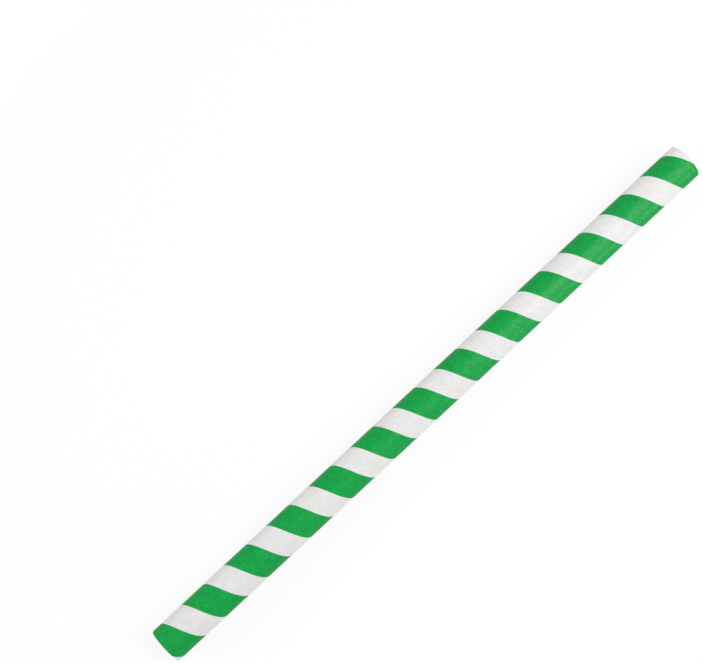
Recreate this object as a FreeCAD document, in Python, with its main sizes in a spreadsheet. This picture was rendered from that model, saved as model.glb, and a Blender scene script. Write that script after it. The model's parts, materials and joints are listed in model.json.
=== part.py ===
"""A wide paper drinking straw, lying on its side. Millimetres.

The straw is one spiral-wound paper tube, glued solid and cut square at both ends. It lies along X
on the plane Z = 0, and the origin is on that plane, under the middle of the tube.
"""

import FreeCAD, Part
import os
import Sketcher

PARTS_FOLDER = "parts"

# Driving dimensions, in the order of the spreadsheet's rows: name, value, what it measures.
SIZES = [
    ("straw_length", 220.0, "cut end to cut end"),
    ("outer_diameter", 12.0, "over the printed outside"),
    ("wall", 0.45, "all the glued paper together"),
    ("outer_rim_round", 0.15, "outer edge of each cut end, pressed in by the knife"),
    ("inner_rim_round", 0.08, "inner edge of each cut end"),
]


def add_sheet(doc):
    """The spreadsheet that every size is bound to. Each value's cell has the size's name as its alias."""
    sheet = doc.addObject("Spreadsheet::Sheet", "sizes")
    for row, (name, value, note) in enumerate(SIZES, start=1):
        sheet.set(f"A{row}", name)
        sheet.set(f"B{row}", str(value))
        sheet.set(f"C{row}", note)
        sheet.setAlias(f"B{row}", name)
    doc.recompute()
    return sheet


def origin_plane(body, role):
    """One of a body's own origin planes, such as YZ_Plane."""
    return next(o for o in body.Origin.OriginFeatures if o.Role == role)


def add_ring_sketch(body):
    """The tube's cross-section: two circles about the body's X axis."""
    sketch = body.newObject("Sketcher::SketchObject", "wall_section")
    sketch.AttachmentSupport = [(origin_plane(body, "YZ_Plane"), "")]
    sketch.MapMode = "FlatFace"
    circles = [
        ("outside", "sizes.outer_diameter"),
        ("bore", "sizes.outer_diameter - 2 * sizes.wall"),
    ]
    sketch_origin = (-1, 1)
    centre_point = 3
    for name, diameter in circles:
        start_radius = 1.0
        circle = Part.Circle(FreeCAD.Vector(0, 0, 0), FreeCAD.Vector(0, 0, 1), start_radius)
        index = sketch.addGeometry(circle, False)
        sketch.addConstraint(
            Sketcher.Constraint("Coincident", index, centre_point, *sketch_origin)
        )
        size = sketch.addConstraint(Sketcher.Constraint("Diameter", index, 2 * start_radius))
        sketch.renameConstraint(size, name)
        sketch.setExpression(f"Constraints.{name}", diameter)
    return sketch


def add_tube(body, sketch):
    """The section drawn out to the straw's length, half of it each way from the middle."""
    pad = body.newObject("PartDesign::Pad", "tube")
    pad.Profile = sketch
    pad.SideType = "Symmetric"
    pad.setExpression("Length", "sizes.straw_length")
    sketch.Visibility = False
    return pad


def rim_edges(shape, radius):
    """The names of the circular edges of that radius about the tube's axis: one at each cut end."""
    nearness = 1e-6
    return [
        f"Edge{number}"
        for number, edge in enumerate(shape.Edges, start=1)
        if isinstance(edge.Curve, Part.Circle) and abs(edge.Curve.Radius - radius) < nearness
    ]


def add_rim_round(body, base, name, rim_radius, size):
    """Rounds the two edges of the cut ends that have that radius."""
    fillet = body.newObject("PartDesign::Fillet", name)
    fillet.Base = (base, rim_edges(base.Shape, rim_radius))
    fillet.setExpression("Radius", size)
    return fillet


def add_straw(doc, sheet):
    """The straw's one solid, raised by half its diameter so that it rests on Z = 0."""
    body = doc.addObject("PartDesign::Body", "straw_tube")
    body.Label = "straw_tube"
    sketch = add_ring_sketch(body)
    tube = add_tube(body, sketch)
    doc.recompute()

    outer_radius = sheet.outer_diameter / 2
    bore_radius = outer_radius - sheet.wall
    rounded = add_rim_round(
        body, tube, "outer_rims", outer_radius, "min(sizes.outer_rim_round; sizes.wall * 0.6)"
    )
    doc.recompute()
    add_rim_round(
        body, rounded, "inner_rims", bore_radius, "min(sizes.inner_rim_round; sizes.wall * 0.3)"
    )
    body.setExpression(".Placement.Base.z", "sizes.outer_diameter / 2")
    doc.recompute()
    return body


def check(doc, bodies):
    """Stops the script where an object failed to build or a sub-part isn't one sound solid."""
    for item in doc.Objects:
        if "Invalid" in item.State or "Error" in item.State:
            raise RuntimeError(f"{item.Name} failed to build: {item.State}")
    for body in bodies:
        shape = body.Shape
        if shape.isNull() or not shape.isValid() or len(shape.Solids) != 1:
            raise RuntimeError(f"{body.Label} isn't one valid solid")


def main():
    doc = FreeCAD.newDocument("paper_straw")
    sheet = add_sheet(doc)
    bodies = [add_straw(doc, sheet)]
    check(doc, bodies)
    os.makedirs(PARTS_FOLDER, exist_ok=True)
    for body in bodies:
        body.Shape.exportStep(os.path.join(PARTS_FOLDER, f"{body.Label}.step"))
        box = body.Shape.optimalBoundingBox()
        print(
            f"{body.Label}: {box.XLength:.3f} x {box.YLength:.3f} x {box.ZLength:.3f} mm,"
            f" {body.Shape.Volume:.3f} mm3"
        )


main()
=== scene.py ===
"""A wide paper drinking straw, lying on a pale floor. Metres, in the part's own frame.

The straw is three plies of paper strip, wound in a spiral and glued. Its outer strip is white, with
one green band printed along the strip's middle, so that the band runs round the tube as a screw.
The tube is one closed mesh. Its rings stand square to the tube and its columns run along the
strips, so that each strip's butt seam, and each edge of the print, follows a column.
"""

import json
import math

import bpy
import numpy as np
from mathutils import Matrix, Quaternion, Vector


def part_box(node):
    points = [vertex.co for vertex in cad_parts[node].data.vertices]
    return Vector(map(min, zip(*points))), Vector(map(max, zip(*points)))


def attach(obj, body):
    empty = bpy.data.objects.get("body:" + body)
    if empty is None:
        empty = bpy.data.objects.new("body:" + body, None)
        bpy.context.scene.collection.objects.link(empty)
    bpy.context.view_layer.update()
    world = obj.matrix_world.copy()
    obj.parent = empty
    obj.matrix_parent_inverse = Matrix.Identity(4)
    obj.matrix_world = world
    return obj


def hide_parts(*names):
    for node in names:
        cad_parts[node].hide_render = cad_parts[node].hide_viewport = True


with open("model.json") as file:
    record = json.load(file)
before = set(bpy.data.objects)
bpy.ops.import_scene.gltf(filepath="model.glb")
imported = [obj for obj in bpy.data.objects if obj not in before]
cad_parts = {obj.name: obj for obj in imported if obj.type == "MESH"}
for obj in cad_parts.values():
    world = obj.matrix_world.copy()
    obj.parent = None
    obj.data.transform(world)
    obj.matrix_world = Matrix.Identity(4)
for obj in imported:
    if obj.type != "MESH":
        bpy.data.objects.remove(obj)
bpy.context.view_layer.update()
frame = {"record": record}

MM = 0.001

# The printed strip
STRIP_WIDTH = 15.95 * MM
BAND_WIDTH = 8.45 * MM
SEAM_START = 7.39 * MM  # from the tube's middle, along its top line, to the nearest outer seam

# How the plies' seams show: share of the strip's width from the outer seam, half width, depth
OUTER_SEAM = (0.0, 0.045 * MM, 0.020 * MM)
MIDDLE_SEAM = (1 / 3, 0.30 * MM, 0.008 * MM)
INNER_SEAM = (2 / 3, 0.07 * MM, 0.06 * MM)
INNER_SEAM_OUTSIDE = (2 / 3, 0.35 * MM, 0.004 * MM)
MIDDLE_SEAM_INSIDE = (1 / 3, 0.35 * MM, 0.012 * MM)

# The cut ends
OUTER_RIM_ROUND = 0.15 * MM
INNER_RIM_ROUND = 0.08 * MM
PRESSED_LENGTH = 0.9 * MM  # how far from the end the knife has pressed the paper inwards
PRESSED_DEPTH = 0.06 * MM
PRESSED_BORE_SHARE = 0.5  # how much of that depth is left at the bore
GLUE_LINES = (0.36, 0.67)  # shares of the wall, from outside, where two plies meet
GROOVE_WIDTH = 0.032 * MM
GROOVE_DEPTH = 0.012 * MM
GROOVE_SECTION = ((0.5, 0), (0.2, 1), (-0.2, 1), (-0.5, 0))  # in widths across, and in depths
RAGGED_DEPTH = 0.009 * MM
RAGGED_WAVES = ((0.45, 23, 1), (0.33, 41, 2), (0.22, 67, 4))  # share, waves round the tube, phase

# The kinds of surface, which are also the places of their materials. INKED is the part of the
# outside under the green band.
OUTSIDE, INSIDE, CUT, INKED = range(4)

# The mesh
OUTER_RING_STEP = 0.33 * MM
INNER_RING_STEP = 0.5 * MM
OUTER_RIM_STEPS = 5
PRINTED_RIM_STEPS = 2  # how many of those, from the outside, are printed paper and not the cut
INNER_RIM_STEPS = 3
COLUMN_STEP = 0.29 * MM
SEAM_COLUMNS = (-3, -1.8, -1, -0.5, 0, 0.5, 1, 1.8, 3)  # in half widths of the seam
SEAM_CLEARANCE = 1.3  # how far other columns keep off a seam, in reaches of the seam's own columns

# The UV maps: places on the paper, and one square picture that holds the straw's colours
STRIP_MAP = "strip"
PICTURE_MAP = "OFBake"

# The picture map: rows and scale of each wall, the gap between rows, and how the cut ends lie in it
PICTURE_ROWS = ((OUTSIDE, 6, 1.0), (INSIDE, 3, 0.62))
PICTURE_GAP = 0.4 * MM
PICTURE_END_WIDTH = 60.0 * MM
PICTURE_END_STRETCH = 4.0
PICTURE_MARGIN = 0.002

# Colours, as linear values
GREEN_INK = (0.003, 0.357, 0.061)
GREEN_INK_PALE = (0.02, 0.41, 0.091)
WHITE_PAPER = (0.868, 0.848, 0.842)
WHITE_PAPER_COOL = (0.846, 0.852, 0.847)
CORE_PAPER = (0.80, 0.785, 0.76)
GLUED_PAPER = (0.62, 0.60, 0.56)

# How much the colours vary
INK_CLOUD = 0.11
INK_GRAIN = 0.11
PAPER_CLOUD = 0.026
PAPER_FIBRE = 0.043
CUT_FIBRE = 0.05

# The noises: features per millimetre across the strip, how far they are drawn out along it, detail
COCKLE_NOISE = (0.9, 1.4, 2.0)
FIBRE_NOISE = (4.0, 4.0, 4.0)
TINT_NOISE = (0.3, 1.5, 1.0)
PAPER_CLOUD_NOISE = (0.5, 1.6, 3.0)
PAPER_FIBRE_NOISE = (2.2, 4.5, 3.0)
INK_CLOUD_NOISE = (0.6, 1.3, 3.0)
INK_GRAIN_NOISE = (2.0, 1.6, 3.0)
INK_FLECK_NOISE = (2.6, 1.5, 4.0)
WANDER_NOISE = (0.35, 4.0, 1.0)
FEATHER_NOISE = (5.0, 1.5, 3.0)
BORE_FIBRE_NOISE = (5.0, 4.0, 3.0)
CUT_FIBRE_NOISE = (8.0, 3.0, 4.0)

# How far the surface swings up and down with its noise
COCKLE_SWING = 0.025 * MM
FIBRE_SWING = 0.005 * MM
CUT_FIBRE_SWING = 0.006 * MM

# The print's edge, in millimetres: how far it wanders, how far the ink feathers into the fibres,
# and how far to each side it fades
EDGE_WANDER = 0.02
EDGE_FEATHER = 0.025
EDGE_FADE = 0.05

# The pale flecks: where in their noise they start, and how pale they get
FLECKS_START = 0.2
FLECKS_MOST = 0.8

# The painted shade in the hairline gap where a strip's two edges meet: its reach in millimetres,
# and its darkest shade
OUTER_PAINTED_SEAM_SHADE = (0.04, 0.93)
INNER_PAINTED_SEAM_SHADE = (0.08, 0.8)

# The glue lines' colour on the cut, in millimetres: how far fibres shift the lines, and how far
# from a line the colour starts to fade and ends. GLUE_SHARE is how much of it shows.
GLUE_SHIFT = 0.004
GLUE_CORE = 0.004
GLUE_REACH = 0.022
GLUE_SHARE = 0.7

# How the papers reflect: their specular level, and the lowest and highest roughness
PRINTED_SPECULAR = 0.03
PLAIN_SPECULAR = 0.1
PRINTED_ROUGHNESS = (0.5, 0.62)
BORE_ROUGHNESS = (0.6, 0.7)
CUT_ROUGHNESS = (0.7, 0.85)

# How far fibres scatter light in bare paper, and where ink has filled it
BARE_DIFFUSE_ROUGHNESS = 0.6
INKED_DIFFUSE_ROUGHNESS = 0.0

# The faint gloss of the printed sheet, which is its shader's coat
GLOSS_WEIGHT = 0.18
GLOSS_MOTTLE = 0.35
GLOSS_IOR = 1.7
GLOSS_ROUGHNESS = 0.305

# The camera
CAMERA_PLACE = (-0.03363, 0.00291, 0.54176)
LOOKED_AT = (-0.00278, 0.03192, 0.006)
UP_HEADING = math.radians(47.04)  # from +X, the way along the floor that is up in the picture
FOCAL_PIXELS = 1733.8
IMAGE_WIDTH = 703
SENSOR_WIDTH = 36.0

# The lamps: name, place, size, turn about its own axis, and brightness
LAMPS = (
    ("key", (0.179, -0.183, 0.464), (0.127, 0.646), math.radians(-33), 0.58),
    ("side", (0.209, -0.615, 0.083), (0.057, 0.367), math.radians(-7), 0.253),
    ("fill", (-0.889, 0.713, 0.48), (0.6, 0.6), 0.0, 0.462),
)

# The background and the floor
SKY_STRENGTH = 0.365
WHITE = (1.0, 1.0, 1.0, 1.0)
FLOOR_GREY = (0.32, 0.32, 0.32, 1.0)
FLOOR_SIZE = 4.0

# The floor's glow, which keeps it white where it is seen and lights nothing:
# distance from the straw's middle, share of glow there, the glow's strength there
GLOW_NEAR = (0.16, 0.5, 1.7)
GLOW_FAR = (0.5, 1.0, 1.03)


class Tube:
    """The straw's sizes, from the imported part."""

    def __init__(self):
        low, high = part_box("straw_tube")
        bore = next(m for m in frame["record"]["mounts"] if m["name"] == "bore")
        self.half_length = (high.x - low.x) / 2
        self.radius = (high.y - low.y) / 2
        self.bore_radius = bore["dims"]["r_mm"] * MM
        self.axis_height = (high.z + low.z) / 2
        self.wall = self.radius - self.bore_radius
        lean = math.asin(STRIP_WIDTH / (2 * math.pi * self.radius))
        self.pitch = 2 * math.pi * self.radius * math.tan(lean)

    def lean(self, radius):
        """The angle between the strips and the tube's rings, at that radius in the wall."""
        return math.atan(self.pitch / (2 * math.pi * radius))

    def strip_width(self, radius):
        """The width of the strips at that radius in the wall."""
        return self.pitch * math.cos(self.lean(radius))


# The tube's mesh


def columns():
    """Where the columns stand, as shares of the strip's width from the outer seam."""
    places = list(np.arange(0, 1, COLUMN_STEP / STRIP_WIDTH))
    for seam, half_width, _ in (OUTER_SEAM, MIDDLE_SEAM, INNER_SEAM):
        half = half_width / STRIP_WIDTH
        reach = SEAM_CLEARANCE * max(SEAM_COLUMNS) * half
        places = [p for p in places if min(abs(p - seam), 1 - abs(p - seam)) > reach]
        places += [(seam + half * s) % 1 for s in SEAM_COLUMNS]
    half_step = COLUMN_STEP / STRIP_WIDTH / 2
    half_band = BAND_WIDTH / STRIP_WIDTH / 2
    for edge in (0.5 - half_band, 0.5 + half_band):
        places = [p for p in places if abs(p - edge) > half_step]
        places += [edge]
    return np.array(sorted(places))


def dip(places, seam):
    """How far the surface sinks at each column because of one seam."""
    at, half_width, depth = seam
    away = np.abs(places - at)
    away = np.minimum(away, 1 - away) * STRIP_WIDTH
    return depth * np.exp(-((away / half_width) ** 2))


def end_profile(tube):
    """The wall's end in section, from outside to bore: (inset from the end, radius, kind)."""
    profile = []
    for step in range(1, OUTER_RIM_STEPS + 1):
        turn = math.pi / 2 * step / OUTER_RIM_STEPS
        inset = OUTER_RIM_ROUND * (1 - math.sin(turn))
        radius = tube.radius - OUTER_RIM_ROUND * (1 - math.cos(turn))
        profile.append((inset, radius, OUTSIDE if step <= PRINTED_RIM_STEPS else CUT))
    for share in GLUE_LINES:
        line = tube.radius - tube.wall * share
        for across, depth in GROOVE_SECTION:
            profile.append((depth * GROOVE_DEPTH, line + across * GROOVE_WIDTH, CUT))
    for step in range(INNER_RIM_STEPS + 1):
        turn = math.pi / 2 * step / INNER_RIM_STEPS
        inset = INNER_RIM_ROUND * (1 - math.cos(turn))
        radius = tube.bore_radius + INNER_RIM_ROUND * (1 - math.sin(turn))
        profile.append((inset, radius, CUT if step < INNER_RIM_STEPS else INSIDE))
    return profile


def rings(tube):
    """Every ring once round the wall's section: x, radius and the kind of the faces after it."""
    wall_end = tube.half_length - OUTER_RIM_ROUND
    bore_end = tube.half_length - INNER_RIM_ROUND
    outer_count = round(2 * wall_end / OUTER_RING_STEP)
    inner_count = round(2 * bore_end / INNER_RING_STEP)
    end = end_profile(tube)
    found = [(x, tube.radius, OUTSIDE) for x in np.linspace(-wall_end, wall_end, outer_count + 1)]
    found += [(tube.half_length - inset, radius, kind) for inset, radius, kind in end]
    inner = np.linspace(bore_end, -bore_end, inner_count + 1)[1:]
    found += [(x, tube.bore_radius, INSIDE) for x in inner[:-1]]
    found += [(inner[-1], tube.bore_radius, CUT)]
    back = [(inset - tube.half_length, radius) for inset, radius, _ in reversed(end)][1:]
    kinds = [kind for _, _, kind in reversed(end)][2:] + [OUTSIDE]
    found += [(x, radius, kind) for (x, radius), kind in zip(back, kinds)]
    x, radius, kind = zip(*found)
    return np.array(x), np.array(radius), np.array(kind)


def tube_points(tube, x, radius, places):
    """The mesh's points, as an array of rings by columns."""
    x, radius = x[:, None], radius[:, None]
    outer_dip = dip(places, OUTER_SEAM) + dip(places, MIDDLE_SEAM) + dip(places, INNER_SEAM_OUTSIDE)
    inner_dip = dip(places, INNER_SEAM) + dip(places, MIDDLE_SEAM_INSIDE)
    depth = (tube.radius - radius) / tube.wall
    outside = np.clip(1 - 2 * depth, 0, 1)
    inside = np.clip(2 * depth - 1, 0, 1)
    from_end = tube.half_length - np.abs(x)
    near_end = np.clip(1 - from_end / PRESSED_LENGTH, 0, 1)
    pressed = PRESSED_DEPTH * near_end**2 * (1 - (1 - PRESSED_BORE_SHARE) * depth)
    moved = radius - outside * outer_dip - pressed + inside * inner_dip

    angle = 2 * math.pi * (places + (SEAM_START - x) / tube.pitch)
    on_cut = (radius < tube.radius - OUTER_RIM_ROUND / 2) & (from_end < INNER_RIM_ROUND)
    waves = sum(share * np.sin(count * angle + phase) for share, count, phase in RAGGED_WAVES)
    x = x - np.sign(x) * on_cut * RAGGED_DEPTH * (1 + waves)
    return np.stack([x, moved * np.sin(angle), moved * np.cos(angle) + tube.axis_height], -1)


def face_corners(places, kind):
    """The corners of every face: their rings, and how far across the strip they lie, from 0 to 1.

    Both are arrays of rings by columns by corners. The share across starts at the seam of the wall
    that the face is on.
    """
    steps = np.append(places, 1.0)
    ring, column = np.meshgrid(np.arange(len(kind)), np.arange(len(places)), indexing="ij")
    after = (ring + 1) % len(kind)
    seams = {OUTSIDE: OUTER_SEAM[0], INSIDE: INNER_SEAM[0], CUT: 0.0}
    seam = np.array([seams[k] for k in kind])[:, None]
    left = (steps[column] - seam) % 1.0
    right = left + steps[column + 1] - steps[column]
    return np.stack([ring, after, after, ring], -1), np.stack([left, left, right, right], -1)


def strip_map(tube, x, radius, kind, rings_at, share):
    """Where the corners lie on the paper, in metres, as (along, across).

    On the outer and the inner wall that is the place along the strip and across it from its seam,
    and on a cut end it is the way round the tube and the depth under its outside.
    """
    at_radius = np.array([tube.bore_radius if k == INSIDE else tube.radius for k in kind])
    lean = np.array([tube.lean(r) for r in at_radius])[:, None, None]
    round_it = 2 * math.pi * at_radius[:, None, None]
    along = x[rings_at] / np.sin(lean) - round_it * np.cos(lean) * share
    across = tube.pitch * np.cos(lean) * share
    on_cut = (kind == CUT)[:, None, None]
    turn = 2 * math.pi * (share + (SEAM_START - x[rings_at]) / tube.pitch)
    along = np.where(on_cut, turn * radius[rings_at], along)
    across = np.where(on_cut, tube.radius - radius[rings_at], across)
    return np.stack([along, across], -1)


def picture_map(tube, x, radius, kind, rings_at, share, strip):
    """Where the corners lie in one square picture that holds the whole straw, from 0 to 1.

    The strip map runs on for half a metre, so a picture of the straw's colours needs this one. Each
    wall is cut into rows of strip, and the two cut ends lie side by side after the last row.
    """
    spot = np.zeros_like(strip)
    middle = (x + np.roll(x, -1)) / 2
    top = 0.0
    for wall, count, scale in PICTURE_ROWS:
        at_radius = tube.bore_radius if wall == INSIDE else tube.radius
        lean = tube.lean(at_radius)
        row_height = tube.strip_width(at_radius) + PICTURE_GAP
        on_wall = kind == wall
        row = np.floor((middle[on_wall] / tube.half_length + 1) / 2 * count)[:, None, None]
        start = (2 * row / count - 1) * tube.half_length / math.sin(lean)
        start = start - 2 * math.pi * at_radius * math.cos(lean)
        spot[on_wall, ..., 0] = (strip[on_wall, ..., 0] - start) * scale
        spot[on_wall, ..., 1] = top + (strip[on_wall, ..., 1] + row * row_height) * scale
        top += count * row_height * scale
    walked = np.append(0.0, np.cumsum(np.hypot(np.diff(x), np.diff(radius))))
    for place, side in enumerate((-1, 1)):
        on_end = (kind == CUT) & (side * middle > 0)
        left = place * (PICTURE_END_WIDTH + PICTURE_GAP)
        depth = walked[rings_at[on_end]] - walked[rings_at[on_end].min()]
        spot[on_end, ..., 0] = left + share[on_end] * PICTURE_END_WIDTH
        spot[on_end, ..., 1] = top + depth * PICTURE_END_STRETCH
    low, high = spot.min(axis=(0, 1, 2)), spot.max(axis=(0, 1, 2))
    return PICTURE_MARGIN + (1 - 2 * PICTURE_MARGIN) * (spot - low) / (high - low)


def straw_mesh(tube):
    """The tube as one closed mesh, with its kinds of surface and its two UV maps."""
    places = columns()
    x, radius, kind = rings(tube)
    points = tube_points(tube, x, radius, places)
    ring_count, column_count = points.shape[:2]
    ring, column = np.meshgrid(np.arange(ring_count), np.arange(column_count), indexing="ij")
    this = ring * column_count
    after = (ring + 1) % ring_count * column_count
    beside = (column + 1) % column_count
    faces = np.stack([this + column, after + column, after + beside, this + beside], -1)
    mesh = bpy.data.meshes.new("paper_straw")
    mesh.from_pydata(points.reshape(-1, 3).tolist(), [], faces.reshape(-1, 4).tolist())

    middles = (places + np.append(places[1:], 1.0)) / 2
    on_band = np.abs(middles - 0.5) * STRIP_WIDTH < BAND_WIDTH / 2
    used = np.where((kind[ring] == OUTSIDE) & on_band[column], INKED, kind[ring])
    mesh.polygons.foreach_set("material_index", used.ravel().astype(np.int32))
    mesh.polygons.foreach_set("use_smooth", np.ones(ring.size, bool))

    rings_at, share = face_corners(places, kind)
    strip = strip_map(tube, x, radius, kind, rings_at, share)
    picture = picture_map(tube, x, radius, kind, rings_at, share, strip)
    for name, uv in ((STRIP_MAP, strip), (PICTURE_MAP, picture)):
        layer = mesh.uv_layers.new(name=name)
        layer.uv.foreach_set("vector", uv.ravel().astype(np.float32))
    mesh.update()
    return mesh


def make_straw(tube):
    """The straw, in place of the part's own tube."""
    materials = {
        OUTSIDE: printed_paper("bare_paper", BARE_DIFFUSE_ROUGHNESS),
        INSIDE: inner_paper(tube),
        CUT: cut_paper(tube),
        INKED: printed_paper("inked_paper", INKED_DIFFUSE_ROUGHNESS),
    }
    mesh = straw_mesh(tube)
    for kind in sorted(materials):
        mesh.materials.append(materials[kind])
    straw = add_object("paper_straw", mesh)
    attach(straw, "root")
    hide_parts("straw_tube")


def add_object(name, data):
    """A new object in the scene."""
    ob = bpy.data.objects.new(name, data)
    bpy.context.scene.collection.objects.link(ob)
    return ob


# Node helpers


def empty_tree(owner):
    """The node tree of a material or a world, emptied."""
    owner.use_nodes = True
    owner.node_tree.nodes.clear()
    return owner.node_tree


def new_material(name):
    """A new material and its empty node tree."""
    material = bpy.data.materials.new(name)
    return material, empty_tree(material)


def add_node(tree, kind, inputs=None, **settings):
    """A node of that kind, with its settings and its inputs' values or links."""
    node = tree.nodes.new(kind)
    for name, value in settings.items():
        setattr(node, name, value)
    for name, value in (inputs or {}).items():
        if isinstance(value, bpy.types.NodeSocket):
            tree.links.new(value, node.inputs[name])
        else:
            node.inputs[name].default_value = value
    return node


def add_shader(tree, inputs):
    """The Principled shader with those inputs, joined to the material's output."""
    shader = add_node(tree, "ShaderNodeBsdfPrincipled", inputs)
    add_node(tree, "ShaderNodeOutputMaterial", {"Surface": shader.outputs[0]})


def math_node(tree, operation, *values):
    """A Math node's result."""
    return add_node(tree, "ShaderNodeMath", dict(enumerate(values)), operation=operation).outputs[0]


def distance(tree, value, place):
    """How far value is from place, either way."""
    return math_node(tree, "ABSOLUTE", math_node(tree, "SUBTRACT", value, place))


def scaled(tree, vector, scale):
    """A vector with each of its parts times the same part of scale."""
    inputs = {0: vector, 1: scale}
    return add_node(tree, "ShaderNodeVectorMath", inputs, operation="MULTIPLY").outputs[0]


def scaled_colour(tree, colour, factor):
    """colour times a number that varies over the surface."""
    inputs = {0: colour, "Scale": factor}
    return add_node(tree, "ShaderNodeVectorMath", inputs, operation="SCALE").outputs[0]


def ranged(tree, value, low, high, to_low, to_high):
    """value, moved from low..high to to_low..to_high, and held there outside it."""
    inputs = {
        "Value": value,
        "From Min": low,
        "From Max": high,
        "To Min": to_low,
        "To Max": to_high,
    }
    return add_node(tree, "ShaderNodeMapRange", inputs).outputs["Result"]


def varied(tree, value, low, high):
    """low where the noise in value is -1, and high where it is 1."""
    return ranged(tree, value, -1.0, 1.0, low, high)


def plus(tree, total, *parts):
    """total, plus each (noise, amount) times its amount."""
    for value, amount in parts:
        total = math_node(tree, "MULTIPLY_ADD", value, amount, total)
    return total


def mixed(tree, share, first, second):
    """first where share is 0 and second where it is 1. Both are colours."""
    first_input, second_input, result = 6, 7, 2
    node = add_node(tree, "ShaderNodeMix", {"Factor": share}, data_type="RGBA")
    for place, value in ((first_input, first), (second_input, second)):
        if isinstance(value, tuple):
            node.inputs[place].default_value = (*value, 1.0)
        else:
            tree.links.new(value, node.inputs[place])
    return node.outputs[result]


def noise(tree, place, pattern):
    """Noise from about -1 to 1, with the scale, stretch and detail that the pattern holds."""
    scale, stretch, detail = pattern
    middle, spread = 0.5, 0.2
    vector = scaled(tree, place, (scale / stretch, scale, scale))
    inputs = {"Vector": vector, "Scale": 1.0, "Detail": detail}
    texture = add_node(tree, "ShaderNodeTexNoise", inputs).outputs["Fac"]
    return ranged(tree, texture, middle - spread, middle + spread, -1.0, 1.0)


def bump(tree, height, swing, under=None):
    """The normal of a surface that swings up and down with height, over the normal under it."""
    inputs = {"Strength": 1.0, "Distance": swing, "Height": height}
    if under:
        inputs["Normal"] = under
    return add_node(tree, "ShaderNodeBump", inputs).outputs[0]


def strip_place(tree):
    """The surface's place on the paper strip, in millimetres: the vector, and the part across."""
    place = add_node(tree, "ShaderNodeUVMap", uv_map=STRIP_MAP).outputs[0]
    vector = scaled(tree, place, (1 / MM, 1 / MM, 1 / MM))
    return vector, add_node(tree, "ShaderNodeSeparateXYZ", {0: vector}).outputs[1]


# The materials


def uneven(tree, place):
    """The sheet's slow cockle and its fibres, as a bumped normal."""
    cockle = bump(tree, noise(tree, place, COCKLE_NOISE), COCKLE_SWING)
    return bump(tree, noise(tree, place, FIBRE_NOISE), FIBRE_SWING, cockle)


def print_mask(tree, place, across):
    """1 on the green band and 0 off it. Its edge wanders, and the ink feathers into the fibres."""
    wander = noise(tree, place, WANDER_NOISE)
    feather = noise(tree, place, FEATHER_NOISE)
    from_middle = distance(tree, across, STRIP_WIDTH / MM / 2)
    past_edge = math_node(tree, "SUBTRACT", from_middle, BAND_WIDTH / MM / 2)
    moved = plus(tree, past_edge, (wander, EDGE_WANDER), (feather, EDGE_FEATHER))
    return ranged(tree, moved, -EDGE_FADE, EDGE_FADE, 1.0, 0.0)


def painted_seam_shade(tree, across, width, painted_shade):
    """The painted shade of the hairline gap where the strip's two edges meet: 1 away from it."""
    reach, darkest = painted_shade
    other_edge = math_node(tree, "SUBTRACT", width / MM, across)
    nearest = math_node(tree, "MINIMUM", across, other_edge)
    return ranged(tree, nearest, 0.0, reach, darkest, 1.0)


def white_paper(tree, place):
    """The bare paper's colour: cloudy, a little warmer and cooler by turns, and fibrous."""
    tint = varied(tree, noise(tree, place, TINT_NOISE), 0.0, 1.0)
    cloud = noise(tree, place, PAPER_CLOUD_NOISE)
    fibre = noise(tree, place, PAPER_FIBRE_NOISE)
    paper = mixed(tree, tint, WHITE_PAPER, WHITE_PAPER_COOL)
    return scaled_colour(tree, paper, plus(tree, 1.0, (cloud, PAPER_CLOUD), (fibre, PAPER_FIBRE)))


def green_ink(tree, place, grain):
    """The printed band's colour: cloudy and grainy, with pale flecks where fibres took less ink."""
    cloud = noise(tree, place, INK_CLOUD_NOISE)
    flecks = noise(tree, place, INK_FLECK_NOISE)
    flecks = ranged(tree, flecks, FLECKS_START, 1.0, 0.0, FLECKS_MOST)
    ink = mixed(tree, flecks, GREEN_INK, GREEN_INK_PALE)
    return scaled_colour(tree, ink, plus(tree, 1.0, (cloud, INK_CLOUD), (grain, INK_GRAIN)))


def printed_paper(name, diffuse_roughness):
    """White paper with the green band, seen on the outer wall.

    The bare and the inked material both hold the whole print, because its edge strays over the
    border between them.
    """
    material, tree = new_material(name)
    place, across = strip_place(tree)
    grain = noise(tree, place, INK_GRAIN_NOISE)
    normal = uneven(tree, place)
    bare = white_paper(tree, place)
    inked = green_ink(tree, place, grain)
    printed = mixed(tree, print_mask(tree, place, across), bare, inked)
    # Painted shade in the outer seam's hairline gap, which darkens the base colour
    seam_gap_shade = painted_seam_shade(tree, across, STRIP_WIDTH, OUTER_PAINTED_SEAM_SHADE)
    gloss = plus(tree, 1.0, (grain, GLOSS_MOTTLE))
    inputs = {
        "Base Color": scaled_colour(tree, printed, seam_gap_shade),
        "Roughness": varied(tree, grain, *PRINTED_ROUGHNESS),
        "Diffuse Roughness": diffuse_roughness,
        "Specular IOR Level": PRINTED_SPECULAR,
        "Normal": normal,
        "Coat Weight": math_node(tree, "MULTIPLY", gloss, GLOSS_WEIGHT),
        "Coat IOR": GLOSS_IOR,
        "Coat Roughness": GLOSS_ROUGHNESS,
        "Coat Normal": normal,
    }
    add_shader(tree, inputs)
    return material


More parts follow.
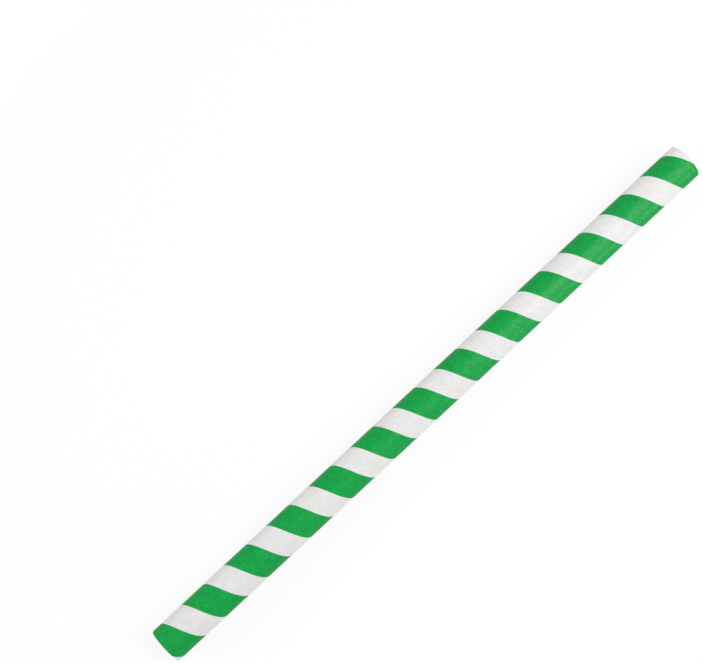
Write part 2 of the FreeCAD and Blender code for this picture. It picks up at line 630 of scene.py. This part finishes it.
def inner_paper(tube):
    """Plain white paper, seen in the bore."""
    material, tree = new_material("inner_paper")
    place, across = strip_place(tree)
    fibre = noise(tree, place, BORE_FIBRE_NOISE)
    # Painted shade in the inner seam's hairline gap, which darkens the base colour
    seam_gap_shade = painted_seam_shade(tree, across, tube.strip_width(tube.bore_radius), INNER_PAINTED_SEAM_SHADE)
    inputs = {
        "Base Color": scaled_colour(tree, white_paper(tree, place), seam_gap_shade),
        "Roughness": varied(tree, fibre, *BORE_ROUGHNESS),
        "Diffuse Roughness": BARE_DIFFUSE_ROUGHNESS,
        "Specular IOR Level": PLAIN_SPECULAR,
        "Normal": uneven(tree, place),
    }
    add_shader(tree, inputs)
    return material


def cut_paper(tube):
    """The plies' cut edges, with a darker glue line between each two."""
    material, tree = new_material("cut_paper")
    place, depth = strip_place(tree)
    fibre = noise(tree, place, CUT_FIBRE_NOISE)
    moved = plus(tree, depth, (fibre, GLUE_SHIFT))
    outer, inner = (distance(tree, moved, share * tube.wall / MM) for share in GLUE_LINES)
    nearest = math_node(tree, "MINIMUM", outer, inner)
    glued = ranged(tree, nearest, GLUE_CORE, GLUE_REACH, GLUE_SHARE, 0.0)
    colour = mixed(tree, glued, CORE_PAPER, GLUED_PAPER)
    inputs = {
        "Base Color": scaled_colour(tree, colour, plus(tree, 1.0, (fibre, CUT_FIBRE))),
        "Roughness": varied(tree, fibre, *CUT_ROUGHNESS),
        "Diffuse Roughness": BARE_DIFFUSE_ROUGHNESS,
        "Specular IOR Level": PLAIN_SPECULAR,
        "Normal": bump(tree, fibre, CUT_FIBRE_SWING),
    }
    add_shader(tree, inputs)
    return material


def seen_straight(tree):
    """1 for camera, glossy and transmission rays, which see the background, and 0 for the rest."""
    path = add_node(tree, "ShaderNodeLightPath").outputs
    either = math_node(tree, "MAXIMUM", path["Is Camera Ray"], path["Is Glossy Ray"])
    return math_node(tree, "MAXIMUM", either, path["Is Transmission Ray"])


def floor_paint():
    """Pale grey under the lamps, mixed with the glow that makes the floor look white."""
    material, tree = new_material("floor")
    place = add_node(tree, "ShaderNodeTexCoord").outputs["Object"]
    away = add_node(tree, "ShaderNodeVectorMath", {0: place}, operation="LENGTH").outputs["Value"]
    near, near_share, near_strength = GLOW_NEAR
    far, far_share, far_strength = GLOW_FAR
    strength = ranged(tree, away, near, far, near_strength, far_strength)
    share = ranged(tree, away, near, far, near_share, far_share)
    share = math_node(tree, "MULTIPLY", seen_straight(tree), share)
    grey = add_node(tree, "ShaderNodeBsdfDiffuse", {"Color": FLOOR_GREY}).outputs[0]
    glow = add_node(tree, "ShaderNodeEmission", {"Color": WHITE, "Strength": strength}).outputs[0]
    both = add_node(tree, "ShaderNodeMixShader", {0: share, 1: grey, 2: glow}).outputs[0]
    add_node(tree, "ShaderNodeOutputMaterial", {"Surface": both})
    return material


# The stage


def make_world():
    """Even light from all round, behind a white background."""
    world = bpy.data.worlds.new("studio")
    tree = empty_tree(world)
    strength = ranged(tree, seen_straight(tree), 0.0, 1.0, SKY_STRENGTH, 1.0)
    sky = add_node(tree, "ShaderNodeBackground", {"Color": WHITE, "Strength": strength})
    add_node(tree, "ShaderNodeOutputWorld", {"Surface": sky.outputs[0]})
    bpy.context.scene.world = world


def make_floor():
    """A pale floor that looks white and still takes the straw's soft shadow."""
    half = FLOOR_SIZE / 2
    mesh = bpy.data.meshes.new("floor")
    corners = [(-half, -half, 0), (half, -half, 0), (half, half, 0), (-half, half, 0)]
    mesh.from_pydata(corners, [], [(0, 1, 2, 3)])
    mesh.materials.append(floor_paint())
    floor = add_object("floor", mesh)


def add_lamp(name, place, size, turn, brightness):
    """A soft lamp that faces the straw, turned about its own axis.

    brightness is what it adds there to a white that faces it, so its power in watts grows with the
    square of its distance.
    """
    lamp = bpy.data.lights.new(name, "AREA")
    lamp.shape = "ELLIPSE"
    lamp.size, lamp.size_y = size
    lamp.energy = brightness * math.pi**2 * Vector(place).length_squared
    facing = Vector(place).to_track_quat("Z", "Y")
    ob = add_object(name, lamp)
    ob.location = place
    ob.rotation_euler = (facing @ Quaternion((0, 0, 1), turn)).to_euler()
    ob.visible_camera = False


def make_camera():
    """The photograph's view, from nearly straight above the straw."""
    camera = bpy.data.cameras.new("camera")
    camera.sensor_fit = "HORIZONTAL"
    camera.sensor_width = SENSOR_WIDTH
    camera.lens = SENSOR_WIDTH * FOCAL_PIXELS / IMAGE_WIDTH
    back = (Vector(CAMERA_PLACE) - Vector(LOOKED_AT)).normalized()
    heading = Vector((math.cos(UP_HEADING), math.sin(UP_HEADING), 0))
    right = heading.cross(back).normalized()
    up = back.cross(right)
    turn = Matrix((right, up, back)).transposed().to_4x4()
    ob = add_object("camera", camera)
    ob.matrix_world = Matrix.Translation(CAMERA_PLACE) @ turn
    bpy.context.scene.camera = ob


def main():
    make_camera()
    make_straw(Tube())
    make_world()
    make_floor()
    for lamp in LAMPS:
        add_lamp(*lamp)
    bpy.context.scene.view_settings.view_transform = "Standard"


main()
